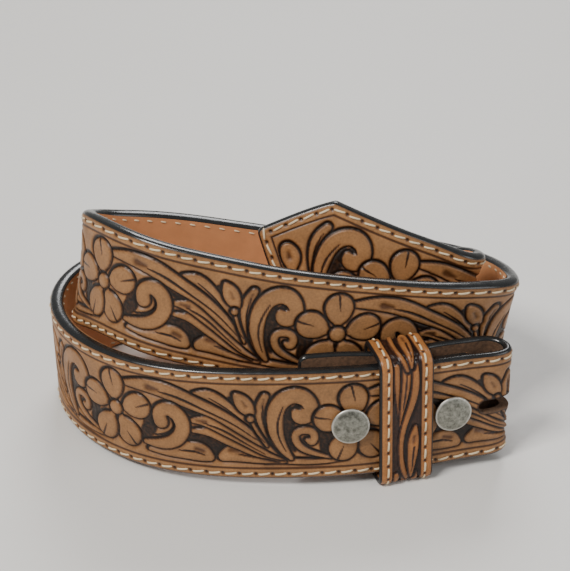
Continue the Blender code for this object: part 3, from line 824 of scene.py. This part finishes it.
def nickel_material():
    """Antique nickel: grey patches and pits, brighter where the rim is rubbed."""
    look = Shader("antique nickel", Metallic=1.0)
    greys = ((0.38, (0.13, 0.13, 0.11)), (0.5, (0.25, 0.25, 0.215)), (0.64, (0.36, 0.355, 0.31)))
    patches = look.ramp(look.noise(620, 6, 0.7), greys)
    colour = look.mix("MIX", look.attribute("rim"), patches, (0.62, 0.61, 0.56))
    look.link(colour, look.shader.inputs["Base Color"])
    look.link(look.spread(look.noise(900, 5), 0.34, 0.56), look.shader.inputs["Roughness"])
    look.bumps((look.noise(900, 5, 0.65), 0.35, 0.00010), (look.noise(2600, 2), 0.2, 0.00004))
    return look.material


MATERIALS = {
    "carved": leather_material("carved leather", (0.315, 0.155, 0.060), (0.090, 0.035, 0.012),
                               (0.010, 0.005, 0.003), 0.42),
    "keeper": leather_material("keeper leather", (0.37, 0.150, 0.044), (0.09, 0.031, 0.012),
                               (0.013, 0.005, 0.004), 0.34),
    "edge": plain_material("black edge paint", (0.010, 0.011, 0.012), (0.20, 0.34),
                           ((200, 0.12, 0.00015),
                            (1200, 0.05, 0.00005)), Coat_Weight=0.25, Coat_Roughness=0.15),
    "lining": plain_material("lining leather", (0.62, 0.29, 0.13), (0.46, 0.60),
                             ((900, 0.18, 0.00008), (3000, 0.15, 0.00004)), (0.90, 1.06)),
    "flesh": plain_material("flesh side", (0.105, 0.055, 0.028), (0.86, 0.98),
                            ((500, 0.9, 0.00035), (1800, 0.8, 0.00020)), (0.6, 1.3), 900,
                            Sheen_Weight=0.05),
    "thread": plain_material("waxed thread", (0.66, 0.54, 0.36), (0.50, 0.68),
                             ((3200, 0.5, 0.00010),), (0.86, 1.08)),
    "nickel": nickel_material(),
}


def make_openings():
    """Openings through the strap: (first, last, across, radius) along its middle line."""
    openings = [(ROUTE.length - FIRST_HOLE_FROM_TIP - i * HOLE_PITCH,) * 2 + (0.0, HOLE_DIAMETER / 2)
                for i in range(HOLE_COUNT)]
    fold = ROUTE.distances[ROUTE.fold]
    inner = ROUTE.place(fold, 0.0, STRAP_THICKNESS)[0] - ROUTE.shift
    near = (ROUTE.distances < 2 * fold) & (ROUTE.points[:, 0] > inner[0] - SLOT_LENGTH)
    reach = ROUTE.distances[near]
    radius = SLOT_HEIGHT / 2
    return openings + [(reach[0] + radius, reach[-1] - radius, 0.0, radius)]


OPENINGS = make_openings()


def open_holes(distance, across):
    """Opens a grid: says which faces stay, and moves the points round each opening onto its rim."""
    low, high = slice(None, -1), slice(1, None)
    corners = ((low, low), (high, low), (high, high), (low, high))
    keep = np.ones((distance.shape[0] - 1, distance.shape[1] - 1), bool)
    rim = np.full(distance.shape, 1.0)
    for first, last, middle, radius in OPENINGS:
        centre = np.clip(distance, first, last)
        away = np.hypot(distance - centre, across - middle)
        inside = away < radius
        opened = np.zeros_like(keep)
        for corner in corners:
            opened |= inside[corner]
        touched = np.zeros_like(inside)
        for corner in corners:
            touched[corner] |= opened
        on_rim = touched & ~inside
        drawn = radius / np.maximum(away, 1e-9)
        distance = np.where(on_rim, centre + (distance - centre) * drawn, distance)
        across = np.where(on_rim, middle + (across - middle) * drawn, across)
        rim = np.minimum(rim, np.where(on_rim, 0.0, np.abs(away - radius)))
        keep &= ~opened
    return distance, across, keep, rim


def relief(distance, across, rim, holes):
    """Height in metres and darkness of the carved face, from stains and, round its carved forms, painted
    shade.
    """
    inside = edge_distance(distance, across)
    along = distance * 1000
    up = across * 1000
    u = FLOWER_AT - along
    u = np.where(along > TIP_PATTERN_FROM, TIP_FLOWER_AT - along, u)
    main = make_belt_chart(SHAPES, HOLLOWS, CUTS, MATS)
    tip_mats = [mat for mat in MATS if mat[0][0] > TIP_MATS_FROM or mat[0][0] < FLOWER_MATS_TO]
    tip_cuts = [cut for cut in CUTS if cut[0][0] > TIP_CUTS_FROM]
    tip = make_belt_chart(TIP_SHAPES, TIP_HOLLOWS, tip_cuts, tip_mats)
    ending = along > TIP_ENDING_FROM
    height = np.where(ending, tip.read(tip.height, u, up), main.read(main.height, u, up))
    stain = np.where(ending, tip.read(tip.stain, u, up), main.read(main.stain, u, up))
    patterned = inside > PATTERN_INSET
    height = np.where(patterned, height, 0.0) * np.clip(rim / HOLE_FLAT, 0, 1)
    stain = np.where(patterned, stain, 0.0)
    tree = make_tree(holes)
    pit_away = np.full(inside.shape, 1.0)
    for index in np.argwhere(np.abs(inside - STITCH_INSET) < PIT_REACH):
        place = tuple(index)
        pit_away[place] = tree.find((distance[place], across[place], 0))[2]
    height -= work(ROLL, EDGE_ROUND - inside)
    stain = np.maximum(stain, work(ROLL_STAIN, EDGE_ROUND - inside))
    for away, mark in ((inside - BORDER_INSET, BORDER_MARK), (inside - STITCH_INSET, SEAM_MARK),
                       (rim, HOLE_MARK), (pit_away, PIT_MARK)):
        height, stain = press(height, stain, away, mark)
    return height / 1000, stain


def make_carved_face(holes):
    first, last = EDGE_ROUND, ROUTE.length - EDGE_ROUND
    runs = np.linspace(first, last, round((last - first) / FACE_STEP))
    shares = np.linspace(-1, 1, FACE_ROWS)
    distance = np.repeat(runs[:, None], FACE_ROWS, axis=1)
    across = shares[None, :] * face_half(runs, EDGE_ROUND)[:, None]
    distance, across, keep, rim = open_holes(distance, across)
    height, stain = relief(distance, across, rim, holes)
    points = ROUTE.place(distance, across, -height)
    marks = np.linspace(0, len(runs) - 1, FACE_PIECES + 1).round().astype(int)
    for index, (start, end) in enumerate(zip(marks[:-1], marks[1:])):
        part = slice(start, end + 1)
        piece = make_sheet(f"carved_face_{index + 1}", points[part], {"stain": stain[part]},
                           MATERIALS["carved"], keep[start:end])
        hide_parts("strap")


def make_back(name, start, end, depth, material, foot=None):
    """Smooth inner face of a layer. A foot is the depth that the layer's first end is turned down to."""
    runs = np.linspace(start, end, round((end - start) / PLAIN_STEP))
    shares = np.linspace(-1, 1, PLAIN_ROWS)
    distance = np.repeat(runs[:, None], PLAIN_ROWS, axis=1)
    across = shares[None, :] * face_half(runs, EDGE_ROUND)[:, None]
    distance, across, keep, _ = open_holes(distance, across)
    points = ROUTE.place(distance, across, depth)
    if foot is not None:
        points = np.concatenate([ROUTE.place(distance[:1], across[:1], foot), points])
        keep = np.concatenate([np.ones((1, PLAIN_ROWS - 1), bool), keep])
    piece = make_sheet(name, points, {}, MATERIALS[material], keep, outward=False)
    return piece


def layer_depth(distance):
    """Depth of the belt's back: the strap alone near the flap, and the lining past its start."""
    share = np.clip((distance - LINING_START + LAP_LENGTH / 2) / LAP_LENGTH, 0, 1)
    return STRAP_THICKNESS + share * (WALL - STRAP_THICKNESS)


def make_edge():
    """Rounded and painted edge all round the strap."""
    turns = np.linspace(0, math.pi, EDGE_PROFILE)
    points, out = OUTLINE[:, None, :], OUTLINE_OUT[:, None, :]
    inset = EDGE_ROUND * (1 - np.sin(turns)) + EDGE_TUCK * (np.abs(np.cos(turns)) ** 6)
    rim = points - inset[None, :, None] * out
    back = layer_depth(OUTLINE[:, 0])[:, None]
    depth = EDGE_SUNK + (back - 2 * EDGE_SUNK) * (1 - np.cos(turns))[None, :] / 2
    loop = np.concatenate([rim, rim[:1]])
    depth = np.concatenate([depth, depth[:1]])
    distance = np.clip(loop[..., 0], 0, ROUTE.length)
    points = ROUTE.place(distance, loop[..., 1], depth)
    piece = make_sheet("edge_paint", points, {}, MATERIALS["edge"], outward=False)


def opening_rim(first, last, middle, radius):
    """Closed outline of one opening, with points along its straight sides too."""
    turns = np.linspace(-math.pi / 2, math.pi / 2, RIM_POINTS)
    cos, sin = radius * np.cos(turns), radius * np.sin(turns)
    loop = np.concatenate([np.column_stack([last + cos, middle + sin]),
                           np.column_stack([first - cos, middle - sin]), [(last, middle - radius)]])
    lengths = run_lengths(loop)
    return read_rows(loop, lengths, np.linspace(0, lengths[-1], round(lengths[-1] / FACE_STEP) + 1)).T


def make_hole_walls():
    for index, opening in enumerate(OPENINGS):
        distance, across = opening_rim(*opening)
        back = layer_depth(distance)
        depths = np.stack([np.zeros_like(back), back / 2, back], axis=1)
        points = ROUTE.place(distance[:, None], across[:, None], depths)
        piece = make_sheet(f"hole_wall_{index + 1}", points, {}, MATERIALS["flesh"])


def stitch_rings(thread):
    """Local (along, side, out) rings of one stitch, its ends bent down into the leather."""
    along, girth = np.array(STITCH_RINGS).T
    turns = np.arange(STITCH_SIDES) * 2 * math.pi / STITCH_SIDES
    middle = thread.lift - (thread.lift + thread.sink) * along ** 4
    radius = thread.width * girth[:, None]
    rings = np.zeros((len(along), STITCH_SIDES, 3))
    rings[..., 0] = along[:, None] * thread.length / 2
    rings[..., 1] = radius * np.cos(turns)
    rings[..., 2] = middle[:, None] + STITCH_FLATNESS * radius * np.sin(turns)
    return rings


def make_stitches(name, place, centres, directions, thread):
    """Joins a stitch at each centre into one piece. Place maps (first, second, out) to points."""
    rings = stitch_rings(thread)
    side = np.column_stack([-directions[:, 1], directions[:, 0]])
    local = centres[:, None, None, :] + rings[None, ..., :1] * directions[:, None, None, :] \
        + rings[None, ..., 1:2] * side[:, None, None, :]
    out = np.broadcast_to(rings[None, ..., 2], local.shape[:-1])
    points = place(local[..., 0], local[..., 1], out)
    count, stations, sides = points.shape[:3]
    number = np.arange(count * stations * sides).reshape(count, stations, sides)
    around = np.roll(number, -1, axis=2)
    quads = np.stack([number[:, :-1], around[:, :-1], around[:, 1:], number[:, 1:]], axis=-1).reshape(-1, 4)
    ends = np.concatenate([number[:, 0, ::-1], number[:, -1]])
    caps = np.concatenate([ends[:, [0, 1, 2, 3]], ends[:, [0, 3, 4, 7]], ends[:, [4, 5, 6, 7]]])
    piece = make_mesh(name, points.reshape(-1, 3), np.concatenate([quads, caps]), {}, MATERIALS["thread"])


def turned_cap(side):
    """Domed cap on the front, with a rolled rim."""
    place = ROUTE.front_distance(SNAP_SHARES[side])
    zero = np.zeros(1)
    centre = ROUTE.place(place, 0.0, 0.0)[0]
    out = -ROUTE.inward(np.array([place]), zero)[0]
    up = ROUTE.read(ROUTE.up, place)
    across = unit(np.cross(up, out))
    up = np.cross(out, across)
    radius, rise = np.array(CAP_PROFILE).T
    turns = np.linspace(0, 2 * math.pi, CAP_TURNS + 1)
    ring = np.cos(turns)[:, None] * across + np.sin(turns)[:, None] * up
    height = LAYER_GAP + CAP_RISE * rise
    points = centre + CAP_RADIUS * radius[:, None, None] * ring + height[:, None, None] * out
    rubbed = RUBBED_SHARE * np.clip((radius - RUBBED_FROM) / RUBBED_BLEND, 0, 1)
    rim = np.broadcast_to(rubbed[:, None], points.shape[:2])
    piece = make_sheet("cap_" + side, points, {"rim": rim}, MATERIALS["nickel"], outward=False)
    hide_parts("snap_cap_" + side)


def convex_hull(points):
    """Corner points of a flat cloud's hull, in turn from the one with the least first coordinate."""
    hull = points[geometry.convex_hull_2d(points.tolist())]
    return np.roll(hull, -int(np.lexsort(hull.T[::-1])[0]), axis=0)


class Keeper:
    """The loose loop, swept over the outline that its CAD solid has."""

    def __init__(self):
        place = ROUTE.front_distance(KEEPER_SHARE)
        facing = unit(ROUTE.inward(np.array([place]), np.zeros(1))[0, :2])
        cos, sin = math.cos(KEEPER_YAW), math.sin(KEEPER_YAW)
        self.inward = np.array([cos * facing[0] - sin * facing[1], sin * facing[0] + cos * facing[1], 0.0])
        self.side = np.array([self.inward[1], -self.inward[0], 0.0])
        cloud = packed_points("keeper")
        sideways = cloud @ self.side
        self.middle = (sideways.min() + sideways.max()) / 2
        ends = cloud[sideways < sideways.min() + KEEPER_END]
        hull = convex_hull(np.column_stack([ends @ self.inward, ends[:, 2]]))
        loop = np.concatenate([hull, hull[:1]])
        lengths = run_lengths(loop)
        even = np.linspace(0, lengths[-1], round(lengths[-1] / FACE_STEP), endpoint=False)
        points = read_rows(loop, lengths, even)
        for _ in range(KEEPER_SMOOTHINGS):
            points = (np.roll(points, 1, axis=0) + 2 * points + np.roll(points, -1, axis=0)) / 4
        goal = np.array([points[:, 0].min(), points[:, 1].mean()])
        points = np.roll(points, -int(np.argmin(np.linalg.norm(points - goal, axis=1))), axis=0)
        look_ahead = 5
        if points[look_ahead, 1] < points[0, 1]:
            points = np.roll(points[::-1], 1, axis=0)
        self.points = points
        ahead = unit(np.roll(points, -1, axis=0) - np.roll(points, 1, axis=0))
        self.out = np.column_stack([-ahead[:, 1], ahead[:, 0]])
        self.length = lengths[-1]

    def place(self, run, across, height):
        """Points at a distance round the loop, across its width, and out from its outer face."""
        share = np.mod(run / self.length, 1) * len(self.points)
        index = np.floor(share).astype(int) % len(self.points)
        after = (index + 1) % len(self.points)
        part = (share - np.floor(share))[..., None]
        base = self.points[index] * (1 - part) + self.points[after] * part
        out = unit(self.out[index] * (1 - part) + self.out[after] * part)
        flat = base + height[..., None] * out
        side = (self.middle + across)[..., None] * self.side
        return side + flat[..., :1] * self.inward + flat[..., 1:] * np.array([0.0, 0.0, 1.0])

    def stitches(self):
        """Centres and directions of the stitches on both sides."""
        count = round(self.length / KEEPER_STITCH_PITCH)
        marks = (np.arange(count) + 0.5) * self.length / count
        side = KEEPER_WIDTH / 2 - KEEPER_STITCH_INSET
        centres = np.concatenate([np.column_stack([marks, np.full(count, side * sign)]) for sign in (-1, 1)])
        slant = 0.5 * STITCH_SLANT
        return centres, np.tile([math.cos(slant), math.sin(slant)], (len(centres), 1))

    def chart(self):
        period = self.length * 1000 / KEEPER_REPEATS
        chart = Chart(period, KEEPER_BAND + KEEPER_CHART_MARGIN, KEEPER_GROUND, KEEPER_STAIN)
        chart.stain = chart.stain + KEEPER_STAIN_VARIES * chart.grain
        chart.height = chart.height + KEEPER_GROUND_VARIES * chart.grain
        for stroke in KEEPER_SHAPES:
            chart.shape(stroke)
        for stroke in KEEPER_CUTS:
            chart.cut(stroke)
        for stroke in KEEPER_HOLLOWS:
            chart.hollow(stroke)
            chart.hollow(stroke)
        return chart

    def build(self):
        """Sweeps the section: carved face, right edge, plain back, left edge."""
        flat = KEEPER_WIDTH / 2 - EDGE_ROUND
        turns = np.linspace(0, math.pi, KEEPER_EDGE_ROWS + 2)[1:-1]
        face = np.linspace(-flat, flat, KEEPER_ROWS)
        right = flat + EDGE_ROUND * np.sin(turns)
        back = np.linspace(flat, -flat, KEEPER_BACK_ROWS)
        fall = -KEEPER_THICKNESS * (1 - np.cos(turns)) / 2
        level = np.zeros_like(face)
        under = np.full_like(back, -KEEPER_THICKNESS)
        painted = np.ones_like(fall)
        across = np.concatenate([face, right, back, -right, face[:1]])
        drop = np.concatenate([level, fall, under, fall[::-1], [0.0]])
        paint = np.concatenate([level, painted, 0 * back, painted, [0.0]])
        on_face = np.concatenate([level + 1, 0 * fall, 0 * back, 0 * fall, [1.0]])[None, :]
        run = np.linspace(0, self.length, len(self.points) + 1)
        runs, acrosses = np.meshgrid(run, across, indexing="ij")
        height, stain = self.relief(runs, acrosses)
        points = self.place(runs, acrosses, drop[None, :] + on_face * height)
        looks = {"stain": np.where(on_face > 0, stain, KEEPER_SIDE_STAIN),
                 "paint": np.broadcast_to(paint, stain.shape)}
        piece = make_sheet("keeper_loop", points, looks, MATERIALS["keeper"])
        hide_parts("keeper")

    def relief(self, run, across):
        """Height in metres and darkness of the keeper's face, from stains and, round its carved forms,
        painted shade.
        """
        chart = self.chart()
        inside = np.abs(across) * 1000 < KEEPER_BAND
        height = np.where(inside, chart.read(chart.height, run * 1000, across * 1000), 0.0)
        stain = np.where(inside, chart.read(chart.stain, run * 1000, across * 1000), 0.0)
        from_edge = KEEPER_WIDTH / 2 - np.abs(across)
        height -= work(KEEPER_ROLL, EDGE_ROUND - from_edge)
        pitch = self.length / round(self.length / KEEPER_STITCH_PITCH)
        along = np.minimum(np.mod(run, pitch), pitch - np.mod(run, pitch))
        from_seam = from_edge - KEEPER_STITCH_INSET
        for away, mark in ((np.abs(across) - KEEPER_BAND / 1000, KEEPER_BORDER_MARK),
                           (from_seam, KEEPER_SEAM_MARK), (np.hypot(along, from_seam), KEEPER_PIT_MARK)):
            height, stain = press(height, stain, away, mark)
        return height / 1000, stain


def make_lamp(lamp):
    data = bpy.data.lights.new(lamp.name, "AREA")
    data.energy = lamp.power
    data.size = lamp.size
    data.color = lamp.colour
    place = Vector(lamp.location)
    obj = add_object(lamp.name, data)
    obj.location = place
    obj.rotation_euler = (LAMP_AIM - place).to_track_quat("-Z", "Y").to_euler()


def make_stage():
    """Plain pale floor and soft light."""
    mesh = bpy.data.meshes.new("floor")
    corners = [(x * FLOOR_REACH, y * FLOOR_REACH, 0) for x, y in ((-1, -1), (1, -1), (1, 1), (-1, 1))]
    mesh.from_pydata(corners, [], [(0, 1, 2, 3)])
    mesh.materials.append(plain_material("pale floor", (0.72, 0.71, 0.69), (0.50, 0.60),
                                         ((30, 0.02, 0.0002),), (0.98, 1.02), 3))
    floor = add_object("floor", mesh)
    world = bpy.data.worlds.new("studio")
    world.use_nodes = True
    background = world.node_tree.nodes["Background"]
    background.inputs["Color"].default_value = WORLD_COLOUR
    background.inputs["Strength"].default_value = WORLD_STRENGTH
    bpy.context.scene.world = world
    for lamp in LAMPS:
        make_lamp(lamp)


def make_camera():
    """The camera at the photo's angle."""
    target = Vector(CAMERA_AIM)
    location = target + CAMERA_DISTANCE * Vector((0.0, -math.cos(CAMERA_PITCH), math.sin(CAMERA_PITCH)))
    lens = bpy.data.cameras.new("camera")
    lens.lens = CAMERA_LENS
    lens.sensor_width = 36.0
    camera = add_object("camera", lens)
    camera.location = location
    camera.rotation_euler = (target - location).to_track_quat("-Z", "Y").to_euler()
    bpy.context.scene.camera = camera


def main():
    make_camera()
    make_stage()
    centres, directions, holes = stitch_places()
    make_carved_face(holes)
    make_edge()
    make_hole_walls()
    make_back("flesh_face", EDGE_ROUND, LINING_START + FLESH_OVERLAP, STRAP_THICKNESS, "flesh")
    lining = make_back("lining_face", LINING_START, ROUTE.length - EDGE_ROUND, WALL, "lining",
                       foot=STRAP_THICKNESS - FOOT_OVERLAP)
    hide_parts("lining")
    make_stitches("face_stitches", lambda run, across, out: ROUTE.place(run, across, -out),
                  centres, directions, FACE_THREAD)
    lined = centres[:, 0] > LINING_START + LINING_SEAM_START
    make_stitches("lining_stitches", lambda run, across, out: ROUTE.place(run, across, WALL + out),
                  centres[lined], directions[lined], LINING_THREAD)
    keeper = Keeper()
    keeper.build()
    make_stitches("keeper_stitches", keeper.place, *keeper.stitches(), KEEPER_THREAD)
    for side in SNAP_SHARES:
        turned_cap(side)
    for name in ("socket", "stud", "rivet"):
        for side in SNAP_SHARES:
            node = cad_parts[f"snap_{name}_{side}"]
            node.data.materials.clear()
            node.data.materials.append(MATERIALS["nickel"])


main()
